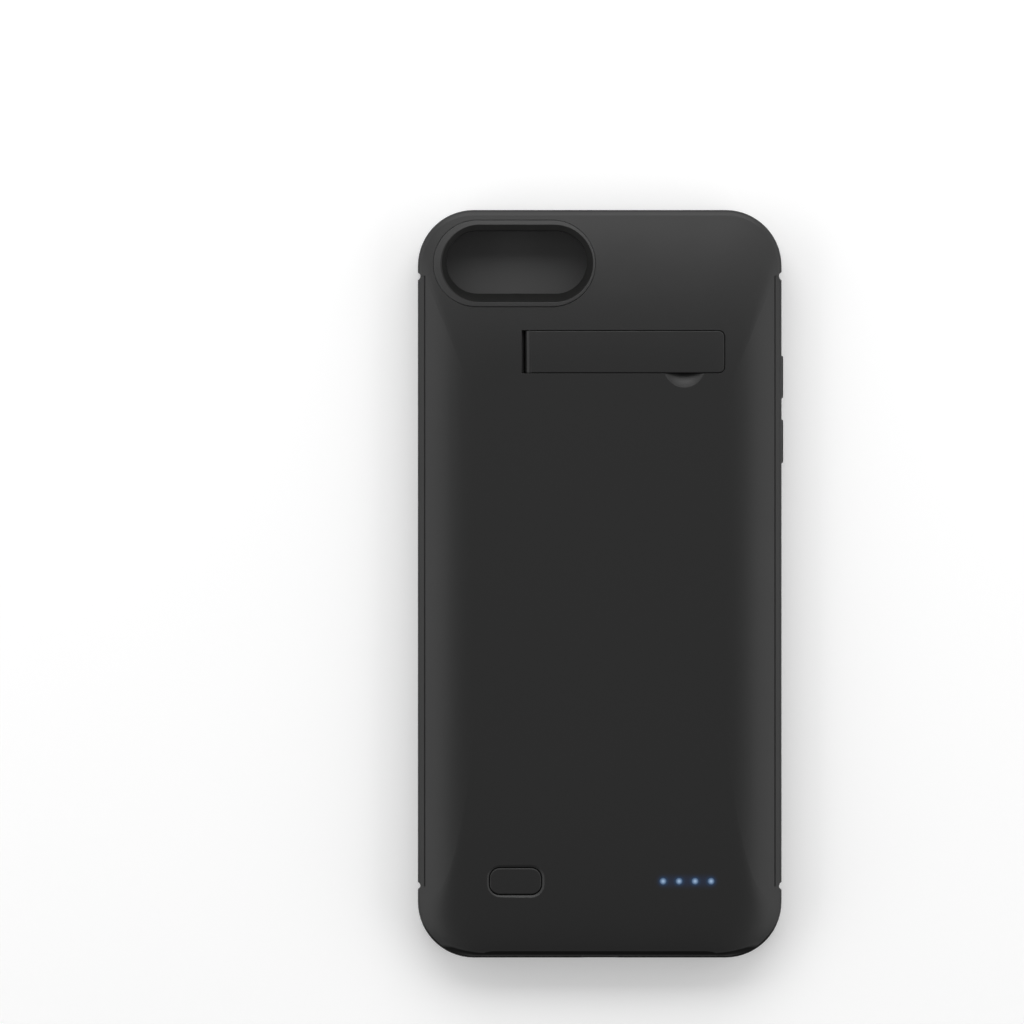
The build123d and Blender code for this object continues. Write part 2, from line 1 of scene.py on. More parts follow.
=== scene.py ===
import bpy
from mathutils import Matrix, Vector

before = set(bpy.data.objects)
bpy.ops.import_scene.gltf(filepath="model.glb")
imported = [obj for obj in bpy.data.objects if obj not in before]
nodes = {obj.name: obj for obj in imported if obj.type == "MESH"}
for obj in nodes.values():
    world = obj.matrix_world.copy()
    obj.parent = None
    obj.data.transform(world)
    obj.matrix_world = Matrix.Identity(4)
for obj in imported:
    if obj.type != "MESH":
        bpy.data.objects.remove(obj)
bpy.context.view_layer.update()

# Battery charging case lying on its open front, seen from straight above its back.
print("pieces loaded:", len(nodes))


def linear(hexColour):
    # sRGB hex value to the linear colour that Blender's sockets take
    channels = [int(hexColour[i:i + 2], 16) / 255 for i in (1, 3, 5)]
    return [c / 12.92 if c <= 0.04045 else ((c + 0.055) / 1.055) ** 2.4 for c in channels] + [1.0]


def perMm(sizeMm):
    return 1000 / sizeMm  # scale at which patches or cells are about that wide


def perWaveMm(sizeMm):
    return 314.16 / sizeMm  # at a scale of 1, bands repeat every 314.16 mm


# A colour mix takes its share in socket 0 and its two colours in 6 and 7, and gives its result in output 2.
def addNode(tree, kind, inputs=None, **settings):
    node = tree.nodes.new(kind)
    for name, value in settings.items():
        setattr(node, name, value)
    for socket, value in (inputs or {}).items():
        if isinstance(value, bpy.types.NodeSocket):
            tree.links.new(value, node.inputs[socket])
        else:
            node.inputs[socket].default_value = value
    return node


def startFinish(name):
    material = bpy.data.materials.new(name)
    material.use_nodes = True
    tree = material.node_tree
    tree.nodes.clear()
    place = addNode(tree, "ShaderNodeTexCoord").outputs["Object"]  # metres in the frame that all pieces share
    return material, tree, place


def endFinish(material, look):
    shader = addNode(material.node_tree, "ShaderNodeBsdfPrincipled", look)
    addNode(material.node_tree, "ShaderNodeOutputMaterial", {"Surface": shader.outputs[0]})
    return material


def patches(tree, place, sizeMm, low=0.0, high=1.0, detail=2.0):
    # soft patches of that size, read out between two values
    noise = addNode(tree, "ShaderNodeTexNoise", {"Vector": place, "Scale": perMm(sizeMm), "Detail": detail})
    return addNode(tree, "ShaderNodeMapRange", {
        "Value": noise.outputs["Fac"],
        "From Min": 0.3,  # the noise seldom leaves 0.3 to 0.7
        "From Max": 0.7,
        "To Min": low,
        "To Max": high,
    }).outputs["Result"]


def drawnLines(tree, place, acrossMm, runMm):
    # fine lines along Y, each that wide and about that long
    scale = (perMm(acrossMm), perMm(runMm), perMm(acrossMm))
    stretched = addNode(tree, "ShaderNodeMapping", {"Vector": place, "Scale": scale}).outputs["Vector"]
    lines = addNode(tree, "ShaderNodeTexNoise", {"Vector": stretched, "Scale": 1.0, "Detail": 4.0})
    return lines.outputs["Fac"]


def mouldedSkin(tree, place, finish):
    # the tool's grain on edges that it leaves slightly round, and how far each place is such an edge
    rounded = addNode(tree, "ShaderNodeBevel", {"Radius": finish["edgeMm"] / 1000}, samples=4).outputs[0]
    shape = addNode(tree, "ShaderNodeNewGeometry").outputs["Normal"]
    turn = addNode(tree, "ShaderNodeVectorMath", {0: rounded, 1: shape}, operation="DOT_PRODUCT")
    rubbed = addNode(tree, "ShaderNodeMapRange", {
        "Value": turn.outputs["Value"],
        "From Min": 0.99,  # still flat
        "From Max": 0.8,  # right on the edge
    }).outputs["Result"]
    noise = addNode(tree, "ShaderNodeTexNoise", {
        "Vector": place, "Scale": perMm(finish["grainMm"]), "Detail": 3.0,
    })
    bump = addNode(tree, "ShaderNodeBump", {
        "Height": noise.outputs["Fac"], "Distance": finish["grainDepthMm"] / 1000, "Normal": rounded,
    })
    return rubbed, bump.outputs["Normal"]


def fromCore(tree, place, middleMm, halfMm):
    # distance in metres from a level rectangle, line or point with that middle and those half sizes
    away = place
    for operation, operand in (
        ("SUBTRACT", (middleMm[0] / 1000, middleMm[1] / 1000, 0)),
        ("ABSOLUTE", (0, 0, 0)),
        ("SUBTRACT", (halfMm[0] / 1000, halfMm[1] / 1000, 0)),
        ("MAXIMUM", (0, 0, 0)),
        ("MULTIPLY", (1, 1, 0)),
    ):
        away = addNode(tree, "ShaderNodeVectorMath", {0: away, 1: operand}, operation=operation).outputs[0]
    return addNode(tree, "ShaderNodeVectorMath", {0: away}, operation="LENGTH").outputs["Value"]


# The row of four lights near the charging end.
lightRow = {"firstMm": (14.0, -65.95), "pitchMm": 3.55, "count": 4, "radiusMm": 0.7}


def fromNearestLight(tree, place):
    # distance in metres from the middle of the nearest light: every pitch along X repeats the first one
    firstX, firstY = lightRow["firstMm"]
    half = lightRow["pitchMm"] / 2000
    shifted = addNode(tree, "ShaderNodeVectorMath", {
        0: place, 1: (firstX / 1000, firstY / 1000, 0),
    }, operation="SUBTRACT").outputs[0]
    folded = addNode(tree, "ShaderNodeVectorMath", {
        0: shifted, 1: (half, 1, 1), 2: (-half, -1, -1),
    }, operation="WRAP").outputs[0]
    return fromCore(tree, folded, (0, 0), (0, 0))


# Polycarbonate moulded and sprayed with soft-touch lacquer: dull black, broad soft highlights, a dry grain,
# edges rubbed a little greyer, and a painted blue glow round the lights. The slope that faces the charging
# end carries a painted shade, a dark band with hardly any shine. The real grain is near 0.1 mm and is drawn
# coarser so that it shows.
softTouch = {
    "colour": "#151515",
    "mottled": "#171717",
    "edge": "#242424",
    "patchMm": 18.0,
    "dull": 0.475,
    "polished": 0.45,
    "shine": 0.5,
    "ior": 1.5,
    "grainMm": 0.45,
    "grainDepthMm": 0.006,
    "edgeMm": 0.13,
    "spill": "#03122a",  # painted blue glow along the whole row of lights
    "spillMm": 2.3,
    "halo": "#082a47",  # painted blue glow, stronger round each light
    "haloMm": 1.5,
    # colour of the painted shade on the slope that faces the charging end
    "paintedShade": "#141414",
    "paintedShadeShine": 0.03,
    "paintedShadeFrom": -0.52,  # how far the surface faces the charging end where the painted shade begins
    "paintedShadeFull": -0.6,
    "paintedShadeEndMm": -67.3,
}


def paintedShadeFoot(tree, place):
    # painted shade: 1 where the shell faces the charging end beyond the notches, 0 elsewhere
    normal = addNode(tree, "ShaderNodeNewGeometry").outputs["Normal"]
    onSlope = addNode(tree, "ShaderNodeMapRange", {
        "Value": addNode(tree, "ShaderNodeSeparateXYZ", {0: normal}).outputs["Y"],
        "From Min": softTouch["paintedShadeFrom"],
        "From Max": softTouch["paintedShadeFull"],
    }).outputs["Result"]
    atFoot = addNode(tree, "ShaderNodeMath", {
        0: addNode(tree, "ShaderNodeSeparateXYZ", {0: place}).outputs["Y"],
        1: softTouch["paintedShadeEndMm"] / 1000,
    }, operation="LESS_THAN").outputs[0]
    return addNode(tree, "ShaderNodeMath", {0: onSlope, 1: atFoot}, operation="MULTIPLY").outputs[0]


def paintedLightGlow(tree, place):
    # colour of the painted blue glow round the lights: faint along the row, stronger round each light
    rowHalf = (lightRow["count"] - 1) * lightRow["pitchMm"] / 2
    rowMiddle = (lightRow["firstMm"][0] + rowHalf, lightRow["firstMm"][1])
    nearRow = addNode(tree, "ShaderNodeMapRange", {
        "Value": fromCore(tree, place, rowMiddle, (rowHalf, 0)),
        "From Max": softTouch["spillMm"] / 1000,
        "To Min": 1.0,
        "To Max": 0.0,
    }, interpolation_type="SMOOTHERSTEP").outputs["Result"]
    nearLight = addNode(tree, "ShaderNodeMapRange", {
        "Value": fromNearestLight(tree, place),
        "From Min": lightRow["radiusMm"] / 1000,
        "From Max": softTouch["haloMm"] / 1000,
        "To Min": 1.0,
        "To Max": 0.0,
    }, interpolation_type="SMOOTHSTEP").outputs["Result"]
    halo = addNode(tree, "ShaderNodeMath", {0: nearLight, 1: nearRow}, operation="MULTIPLY").outputs[0]
    rowGlow = addNode(tree, "ShaderNodeMix", {
        0: nearRow, 6: linear("#000000"), 7: linear(softTouch["spill"]),
    }, data_type="RGBA").outputs[2]
    return addNode(tree, "ShaderNodeMix", {
        0: halo, 6: rowGlow, 7: linear(softTouch["halo"]),
    }, data_type="RGBA").outputs[2]


def softTouchPolycarbonate():
    material, tree, place = startFinish("softTouchPolycarbonate")
    rubbed, normal = mouldedSkin(tree, place, softTouch)
    sprayed = addNode(tree, "ShaderNodeMix", {
        0: patches(tree, place, softTouch["patchMm"]),
        6: linear(softTouch["colour"]),
        7: linear(softTouch["mottled"]),
    }, data_type="RGBA").outputs[2]
    worn = addNode(tree, "ShaderNodeMix", {
        0: rubbed, 6: sprayed, 7: linear(softTouch["edge"]),
    }, data_type="RGBA").outputs[2]
    # painted shade on the slope that faces the charging end: darker colour and hardly any shine
    paintedShade = paintedShadeFoot(tree, place)
    colour = addNode(tree, "ShaderNodeMix", {
        0: paintedShade, 6: worn, 7: linear(softTouch["paintedShade"]),
    }, data_type="RGBA").outputs[2]
    shine = addNode(tree, "ShaderNodeMapRange", {
        "Value": paintedShade, "To Min": softTouch["shine"], "To Max": softTouch["paintedShadeShine"],
    }).outputs["Result"]
    dull = patches(tree, place, softTouch["patchMm"], softTouch["dull"], softTouch["polished"], detail=4.0)
    return endFinish(material, {
        "Base Color": colour,
        "Roughness": dull,
        "Normal": normal,
        "IOR": softTouch["ior"],
        "Specular IOR Level": shine,
        # painted blue glow round the lights
        "Emission Color": paintedLightGlow(tree, place),
        "Emission Strength": 1.0,
    })


# Thermoplastic polyurethane moulded in a spark-eroded tool: rubbery black, hazier than the lacquer.
# Its grain too is drawn coarser than the real 0.1 mm. The rounded rim that faces the charging end carries a
# painted shade, which makes it blacker and takes its shine, and the volume pads carry about a third as much.
softFrame = {
    "colour": "#1e1e1f",
    "hazy": "#212122",
    "edge": "#2b2b2c",
    "patchMm": 9.0,
    "dull": 0.6,
    "smooth": 0.54,
    "shine": 0.45,
    "ior": 1.48,
    "grainMm": 0.4,
    "grainDepthMm": 0.006,
    "edgeMm": 0.15,
    # colour of the painted shade on the rim and the pads
    "shadePainted": "#070707",
    "shadePaintedShine": 0.12,
    "rimFacing": -0.25,  # how far the rim faces the charging end where the painted shade begins
    "rimFacingFull": -0.4,
    "rimFromMm": 7.2,  # height where it begins
    "rimFullMm": 7.5,
    "padsFromMm": 40.55,  # the pads stand out beyond this
    "padsFullMm": 40.7,
    "padsShadeShare": 0.35,
}


def paintedRimShade(tree, place):
    # painted shade: 1 on the rounded rim that faces the charging end, less on the volume pads, 0 elsewhere
    normal = addNode(tree, "ShaderNodeNewGeometry").outputs["Normal"]
    where = addNode(tree, "ShaderNodeSeparateXYZ", {0: place}).outputs
    facing = addNode(tree, "ShaderNodeMapRange", {
        "Value": addNode(tree, "ShaderNodeSeparateXYZ", {0: normal}).outputs["Y"],
        "From Min": softFrame["rimFacing"],
        "From Max": softFrame["rimFacingFull"],
    }).outputs["Result"]
    high = addNode(tree, "ShaderNodeMapRange", {
        "Value": where["Z"],
        "From Min": softFrame["rimFromMm"] / 1000,
        "From Max": softFrame["rimFullMm"] / 1000,
    }).outputs["Result"]
    rim = addNode(tree, "ShaderNodeMath", {0: facing, 1: high}, operation="MULTIPLY").outputs[0]
    pads = addNode(tree, "ShaderNodeMapRange", {
        "Value": where["X"],
        "From Min": softFrame["padsFromMm"] / 1000,
        "From Max": softFrame["padsFullMm"] / 1000,
        "To Max": softFrame["padsShadeShare"],
    }).outputs["Result"]
    return addNode(tree, "ShaderNodeMath", {0: rim, 1: pads}, operation="MAXIMUM").outputs[0]


def mouldedTpu():
    material, tree, place = startFinish("mouldedTpu")
    rubbed, normal = mouldedSkin(tree, place, softFrame)
    bloom = addNode(tree, "ShaderNodeMix", {
        0: patches(tree, place, softFrame["patchMm"]),
        6: linear(softFrame["colour"]),
        7: linear(softFrame["hazy"]),
    }, data_type="RGBA").outputs[2]
    worn = addNode(tree, "ShaderNodeMix", {
        0: rubbed, 6: bloom, 7: linear(softFrame["edge"]),
    }, data_type="RGBA").outputs[2]
    # painted shade on the rim facing the charging end, about a third as strong on the volume pads
    shadePainted = paintedRimShade(tree, place)
    colour = addNode(tree, "ShaderNodeMix", {
        0: shadePainted, 6: worn, 7: linear(softFrame["shadePainted"]),
    }, data_type="RGBA").outputs[2]
    shine = addNode(tree, "ShaderNodeMapRange", {
        "Value": shadePainted, "To Min": softFrame["shine"], "To Max": softFrame["shadePaintedShine"],
    }).outputs["Result"]
    dull = patches(tree, place, softFrame["patchMm"], softFrame["dull"], softFrame["smooth"], detail=4.0)
    return endFinish(material, {
        "Base Color": colour,
        "Roughness": dull,
        "Specular IOR Level": shine,
        "Normal": normal,
        "IOR": softFrame["ior"],
    })


# ABS moulded with a light texture: even black, a little glossier than the lacquer, with faint flow streaks.
trayFinish = {
    "colour": "#1a1a1b",
    "streak": "#222223",
    "streakMm": 2.5,
    "streakRunMm": 30.0,
    "patchMm": 6.0,
    "dull": 0.5,
    "smooth": 0.4,
    "ior": 1.54,
    "grainMm": 0.35,
    "grainDepthMm": 0.006,
    "edgeMm": 0.12,
}


def texturedAbs():
    material, tree, place = startFinish("texturedAbs")
    normal = mouldedSkin(tree, place, trayFinish)[1]
    flow = addNode(tree, "ShaderNodeMix", {
        0: drawnLines(tree, place, trayFinish["streakMm"], trayFinish["streakRunMm"]),
        6: linear(trayFinish["colour"]),
        7: linear(trayFinish["streak"]),
    }, data_type="RGBA").outputs[2]
    return endFinish(material, {
        "Base Color": flow,
        "Roughness": patches(tree, place, trayFinish["patchMm"], trayFinish["dull"], trayFinish["smooth"]),
        "Normal": normal,
        "IOR": trayFinish["ior"],
    })


# ABS camera surround: its narrow land is sprayed like the back, and its sloping wall carries a painted shade,
# the deepest black on the case, mottled a little, standing in for the shade down in the deep window.
bezelFinish = {
    "land": "#1a1a1a",
    # the next two are the painted shade of the sloping wall, the second a mottled tone of it
    "wall": "#0c0c0b",
    "shadePainted": "#111110",
    "patchMm": 3.0,
    "landDull": 0.45,
    "wallDull": 0.62,
    "landShine": 0.5,
    "wallShine": 0.33,
    "ior": 1.54,
    "middleMm": (-18.5, 71.2),
    "straightMm": 8.325,  # half the straight part of the window
    "landFromMm": 8.62,  # out from the middle line of the window
    "stepMm": 0.05,
    "grainMm": 0.3,
    "grainDepthMm": 0.004,
    "edgeMm": 0.2,
}


def shadePaintedAbs():
    material, tree, place = startFinish("shadePaintedAbs")
    normal = mouldedSkin(tree, place, bezelFinish)[1]
    onLand = addNode(tree, "ShaderNodeMapRange", {
        "Value": fromCore(tree, place, bezelFinish["middleMm"], (bezelFinish["straightMm"], 0)),
        "From Min": bezelFinish["landFromMm"] / 1000,
        "From Max": (bezelFinish["landFromMm"] + bezelFinish["stepMm"]) / 1000,
    }).outputs["Result"]
    # painted shade on the sloping wall: near black, mottled a little
    paintedShade = addNode(tree, "ShaderNodeMix", {
        0: patches(tree, place, bezelFinish["patchMm"]),
        6: linear(bezelFinish["wall"]),
        7: linear(bezelFinish["shadePainted"]),
    }, data_type="RGBA").outputs[2]
    both = addNode(tree, "ShaderNodeMix", {
        0: onLand, 6: paintedShade, 7: linear(bezelFinish["land"]),
    }, data_type="RGBA").outputs[2]
    dull = addNode(tree, "ShaderNodeMapRange", {
        "Value": onLand, "To Min": bezelFinish["wallDull"], "To Max": bezelFinish["landDull"],
    }).outputs["Result"]
    shine = addNode(tree, "ShaderNodeMapRange", {
        "Value": onLand, "To Min": bezelFinish["wallShine"], "To Max": bezelFinish["landShine"],
    }).outputs["Result"]
    return endFinish(material, {
        "Base Color": both,
        "Roughness": dull,
        "Specular IOR Level": shine,
        "Normal": normal,
        "IOR": bezelFinish["ior"],
    })


# Frosted polycarbonate light guide lit from below: a pale heart in each stud that turns blue to its rim.
lightGuide = {
    "heart": "#93aecb",
    "rim": "#435a78",
    "unlit": "#141b26",
    "frost": "#1d2735",
    "frostMm": 0.25,
    "dull": 0.5,
    "clear": 0.32,
    "ior": 1.58,
}


def litPolycarbonate():
    material, tree, place = startFinish("litPolycarbonate")
    outward = addNode(tree, "ShaderNodeMapRange", {
        "Value": fromNearestLight(tree, place), "From Max": lightRow["radiusMm"] / 1000,
    }, interpolation_type="SMOOTHSTEP").outputs["Result"]
    lit = addNode(tree, "ShaderNodeMix", {
        0: outward, 6: linear(lightGuide["heart"]), 7: linear(lightGuide["rim"]),
    }, data_type="RGBA").outputs[2]
    body = addNode(tree, "ShaderNodeMix", {
        0: patches(tree, place, lightGuide["frostMm"]),
        6: linear(lightGuide["unlit"]),
        7: linear(lightGuide["frost"]),
    }, data_type="RGBA").outputs[2]
    return endFinish(material, {
        "Base Color": body,
        "Roughness": patches(tree, place, lightGuide["frostMm"], lightGuide["dull"], lightGuide["clear"]),
        "Emission Color": lit,
        "Emission Strength": 1.0,
        "IOR": lightGuide["ior"],
    })


# White moulded lamp bodies, each with a yellow phosphor window in its middle.
lampBody = {
    "resin": "#efeee8",
    "phosphor": "#e3c95c",
    "windowMm": 0.28,
    "grainMm": 0.2,
    "dull": 0.5,
    "smooth": 0.35,
    "ior": 1.5,
}


def mouldedLampResin():
    material, tree, place = startFinish("mouldedLampResin")
    window = addNode(tree, "ShaderNodeMath", {
        0: fromNearestLight(tree, place), 1: lampBody["windowMm"] / 1000,
    }, operation="LESS_THAN").outputs[0]
    colour = addNode(tree, "ShaderNodeMix", {
        0: window, 6: linear(lampBody["resin"]), 7: linear(lampBody["phosphor"]),
    }, data_type="RGBA").outputs[2]
    return endFinish(material, {
        "Base Color": colour,
        "Roughness": patches(tree, place, lampBody["grainMm"], lampBody["dull"], lampBody["smooth"]),
        "IOR": lampBody["ior"],
    })


# Glass-fibre board under green solder mask: lighter lines where copper runs below, tan fibre at its cut edges.
boardFinish = {
    "mask": "#1d5236",
    "overCopper": "#2c7149",
    "fibre": "#a3935c",
    "lineMm": 0.9,  # being diagonal, the lines lie 1.4 times as far apart on a flat face
    "lineBend": 1.5,
    "copperFrom": 0.55,  # of the wave's height, where a line begins and where it is full
    "copperFull": 0.7,
    "copperDepthMm": 0.03,
    "cutBelow": 0.5,  # a face that looks less far up or down than this is a cut edge
    "patchMm": 5.0,
    "dull": 0.42,
    "smooth": 0.28,
    "ior": 1.55,
}


def solderMaskedBoard():
    material, tree, place = startFinish("solderMaskedBoard")
    runs = addNode(tree, "ShaderNodeTexWave", {
        "Vector": place,
        "Scale": perWaveMm(boardFinish["lineMm"]),
        "Distortion": boardFinish["lineBend"],
        "Detail Scale": 0.2,
    }, bands_direction="DIAGONAL")
    lines = addNode(tree, "ShaderNodeMapRange", {
        "Value": runs.outputs["Fac"],
        "From Min": boardFinish["copperFrom"],
        "From Max": boardFinish["copperFull"],
    }).outputs["Result"]
    copper = addNode(tree, "ShaderNodeMath", {
        0: lines, 1: patches(tree, place, boardFinish["patchMm"]),
    }, operation="MULTIPLY").outputs[0]
    face = addNode(tree, "ShaderNodeMix", {
        0: copper, 6: linear(boardFinish["mask"]), 7: linear(boardFinish["overCopper"]),
    }, data_type="RGBA").outputs[2]
    normal = addNode(tree, "ShaderNodeNewGeometry").outputs["Normal"]
    up = addNode(tree, "ShaderNodeSeparateXYZ", {0: normal}).outputs["Z"]
    level = addNode(tree, "ShaderNodeMath", {0: up}, operation="ABSOLUTE").outputs[0]
    cut = addNode(tree, "ShaderNodeMath", {
        0: level, 1: boardFinish["cutBelow"],
    }, operation="LESS_THAN").outputs[0]
    colour = addNode(tree, "ShaderNodeMix", {
        0: cut, 6: face, 7: linear(boardFinish["fibre"]),
    }, data_type="RGBA").outputs[2]
    bump = addNode(tree, "ShaderNodeBump", {
        "Height": copper, "Distance": boardFinish["copperDepthMm"] / 1000,
    })
    return endFinish(material, {
        "Base Color": colour,
        "Roughness": patches(tree, place, boardFinish["patchMm"], boardFinish["dull"], boardFinish["smooth"]),
        "Normal": bump.outputs["Normal"],
        "IOR": boardFinish["ior"],
    })


# Epoxy moulding compound: charcoal with a sandy grain from its silica filler.
chipFinish = {
    "colour": "#1c1c1d",
    "filler": "#29292a",
    "edge": "#2c2c2d",
    "patchMm": 0.6,
    "dull": 0.62,
    "smooth": 0.5,
    "ior": 1.56,
    "grainMm": 0.12,
    "grainDepthMm": 0.006,
    "edgeMm": 0.06,
}


def mouldedEpoxy():
    material, tree, place = startFinish("mouldedEpoxy")
    rubbed, normal = mouldedSkin(tree, place, chipFinish)
    sandy = addNode(tree, "ShaderNodeMix", {
        0: patches(tree, place, chipFinish["grainMm"]),
        6: linear(chipFinish["colour"]),
        7: linear(chipFinish["filler"]),
    }, data_type="RGBA").outputs[2]
    worn = addNode(tree, "ShaderNodeMix", {
        0: rubbed, 6: sandy, 7: linear(chipFinish["edge"]),
    }, data_type="RGBA").outputs[2]
    return endFinish(material, {
        "Base Color": worn,
        "Roughness": patches(tree, place, chipFinish["patchMm"], chipFinish["dull"], chipFinish["smooth"]),
        "Normal": normal,
        "IOR": chipFinish["ior"],
    })


# Pressed and sintered ferrite powder: dark grey, granular, with a faint metallic sparkle.
ferriteFinish = {
    "colour": "#37373a",
    "grit": "#515156",
    "gritMm": 0.18,
    "gritDepthMm": 0.012,
    "patchMm": 0.5,
    "dull": 0.6,
    "smooth": 0.42,
    "metallic": 0.3,
}


def pressedFerrite():
    material, tree, place = startFinish("pressedFerrite")
    grit = addNode(tree, "ShaderNodeTexVoronoi", {"Vector": place, "Scale": perMm(ferriteFinish["gritMm"])})
    colour = addNode(tree, "ShaderNodeMix", {
        0: grit.outputs["Distance"], 6: linear(ferriteFinish["grit"]), 7: linear(ferriteFinish["colour"]),
    }, data_type="RGBA").outputs[2]
    bump = addNode(tree, "ShaderNodeBump", {
        "Height": grit.outputs["Distance"], "Distance": ferriteFinish["gritDepthMm"] / 1000,
    })
    dull = patches(tree, place, ferriteFinish["patchMm"], ferriteFinish["dull"], ferriteFinish["smooth"])
    return endFinish(material, {
        "Base Color": colour,
        "Roughness": dull,
        "Normal": bump.outputs["Normal"],
        "Metallic": ferriteFinish["metallic"],
    })


# Fired ceramic capacitors: tan, slightly mottled bodies with tinned ends.
capacitorFinish = {
    "ceramic": "#8a6a4a",
    "mottled": "#9a7957",
    "tin": "#cfcfca",
    "rowMm": -72.95,  # Y of the middle of the row
    "endFromMm": 0.5,  # out from that middle
    "mottleMm": 0.3,
    "dull": 0.45,
    "smooth": 0.3,
}


def firedCeramic():
    material, tree, place = startFinish("firedCeramic")
    along = addNode(tree, "ShaderNodeSeparateXYZ", {0: place}).outputs["Y"]
    away = addNode(tree, "ShaderNodeMath", {
        0: along, 1: capacitorFinish["rowMm"] / 1000,
    }, operation="SUBTRACT").outputs[0]
    reach = addNode(tree, "ShaderNodeMath", {0: away}, operation="ABSOLUTE").outputs[0]
    tinned = addNode(tree, "ShaderNodeMath", {
        0: reach, 1: capacitorFinish["endFromMm"] / 1000,
    }, operation="GREATER_THAN").outputs[0]
    body = addNode(tree, "ShaderNodeMix", {
        0: patches(tree, place, capacitorFinish["mottleMm"]),
        6: linear(capacitorFinish["ceramic"]),
        7: linear(capacitorFinish["mottled"]),
    }, data_type="RGBA").outputs[2]
    colour = addNode(tree, "ShaderNodeMix", {
        0: tinned, 6: body, 7: linear(capacitorFinish["tin"]),
    }, data_type="RGBA").outputs[2]
    dull = patches(tree, place, capacitorFinish["mottleMm"], capacitorFinish["dull"], capacitorFinish["smooth"])
    return endFinish(material, {"Base Color": colour, "Roughness": dull, "Metallic": tinned})


# Stainless steel, stamped and drawn: bright grey with fine drawing lines that stretch the highlight.
# The real lines are near 0.02 mm and are drawn coarser so that they show.
steelFinish = {"colour": "#c9c8c5", "scuffed": "#a9a8a6", "lineMm": 0.12, "runMm": 6.0, "lineDepthMm": 0.002}

# Steel wire blackened in hot salts: near black, with grey drawing lines where it has turned in its bore.
pinFinish = {"colour": "#1f1f20", "scuffed": "#333335", "lineMm": 0.1, "runMm": 2.0, "lineDepthMm": 0.002}

# Gold flashed over nickel: warm yellow, smooth, with wipe marks from the mating contact.
goldFinish = {"colour": "#dab562", "scuffed": "#b98f45", "lineMm": 0.06, "runMm": 2.5, "lineDepthMm": 0.001}

# Nickel strip straight from the rolls: warm grey, with rolling lines.
nickelFinish = {"colour": "#bdb6a8", "scuffed": "#9d978b", "lineMm": 0.1, "runMm": 3.0, "lineDepthMm": 0.002}

# Wear that all four metals share: scuffed patches, and patches that are polished more or less.
metalWear = {"scuffMm": 2.0, "patchMm": 1.5, "dull": 0.34, "smooth": 0.22}


def drawnMetal(name, finish):
    material, tree, place = startFinish(name)
    lines = drawnLines(tree, place, finish["lineMm"], finish["runMm"])
    colour = addNode(tree, "ShaderNodeMix", {
        0: patches(tree, place, metalWear["scuffMm"]),
        6: linear(finish["colour"]),
        7: linear(finish["scuffed"]),
    }, data_type="RGBA").outputs[2]
    bump = addNode(tree, "ShaderNodeBump", {"Height": lines, "Distance": finish["lineDepthMm"] / 1000})
    return endFinish(material, {
        "Base Color": colour,
        "Metallic": 1.0,
        "Roughness": patches(tree, place, metalWear["patchMm"], metalWear["dull"], metalWear["smooth"]),
        "Normal": bump.outputs["Normal"],
    })


def drawnSteel():
    return drawnMetal("drawnSteel", steelFinish)


def blackenedSteel():
    return drawnMetal("blackenedSteel", pinFinish)


def flashedGold():
    return drawnMetal("flashedGold", goldFinish)


def rolledNickel():
    return drawnMetal("rolledNickel", nickelFinish)


# Polyimide film over etched copper: clear amber with darker copper tracks along the strip.
flexFinish = {
    "film": "#c27a2c",
    "overCopper": "#8f4f1a",
    "trackMm": 0.6,
    "trackFrom": 0.45,  # of the wave's height, where a track begins and where it is full
    "trackFull": 0.55,
    "wrinkleMm": 1.2,
    "wrinkleDepthMm": 0.01,
    "dull": 0.35,
    "smooth": 0.22,
    "ior": 1.7,
}


def polyimideFilm():
    material, tree, place = startFinish("polyimideFilm")
    bands = addNode(tree, "ShaderNodeTexWave", {"Vector": place, "Scale": perWaveMm(flexFinish["trackMm"])})
    tracks = addNode(tree, "ShaderNodeMapRange", {
        "Value": bands.outputs["Fac"],
        "From Min": flexFinish["trackFrom"],
        "From Max": flexFinish["trackFull"],
    }).outputs["Result"]
    colour = addNode(tree, "ShaderNodeMix", {
        0: tracks, 6: linear(flexFinish["film"]), 7: linear(flexFinish["overCopper"]),
    }, data_type="RGBA").outputs[2]
    bump = addNode(tree, "ShaderNodeBump", {
        "Height": patches(tree, place, flexFinish["wrinkleMm"]),
        "Distance": flexFinish["wrinkleDepthMm"] / 1000,
    })
    return endFinish(material, {
        "Base Color": colour,
        "Roughness": patches(tree, place, flexFinish["wrinkleMm"], flexFinish["dull"], flexFinish["smooth"]),
        "Normal": bump.outputs["Normal"],
        "IOR": flexFinish["ior"],
    })


# Aluminium foil laminated between plastic films and drawn to a pouch: silver, softly crinkled.
pouchFinish = {
    "colour": "#c3c3c5",
    "creased": "#a4a4a8",
    "crinkleMm": 5.0,
    "crinkleDepthMm": 0.12,
    "dull": 0.46,
    "smooth": 0.32,
}


def laminatedFoil():
    material, tree, place = startFinish("laminatedFoil")
    crinkle = patches(tree, place, pouchFinish["crinkleMm"], detail=5.0)
    colour = addNode(tree, "ShaderNodeMix", {
        0: crinkle, 6: linear(pouchFinish["creased"]), 7: linear(pouchFinish["colour"]),
    }, data_type="RGBA").outputs[2]
    bump = addNode(tree, "ShaderNodeBump", {
        "Height": crinkle, "Distance": pouchFinish["crinkleDepthMm"] / 1000,
    })
    return endFinish(material, {
        "Base Color": colour,
        "Metallic": 1.0,
        "Roughness": patches(tree, place, pouchFinish["crinkleMm"], pouchFinish["dull"], pouchFinish["smooth"]),
        "Normal": bump.outputs["Normal"],
    })


# Acrylic foam tape: chalky white with open bubbles along its cut sides.
tapeFinish = {
    "colour": "#e2e0d9",
    "bubble": "#bdbab1",
    "bubbleMm": 0.25,
    "bubbleDepthMm": 0.03,
    "patchMm": 1.0,
    "dull": 0.95,
    "smooth": 0.8,
}


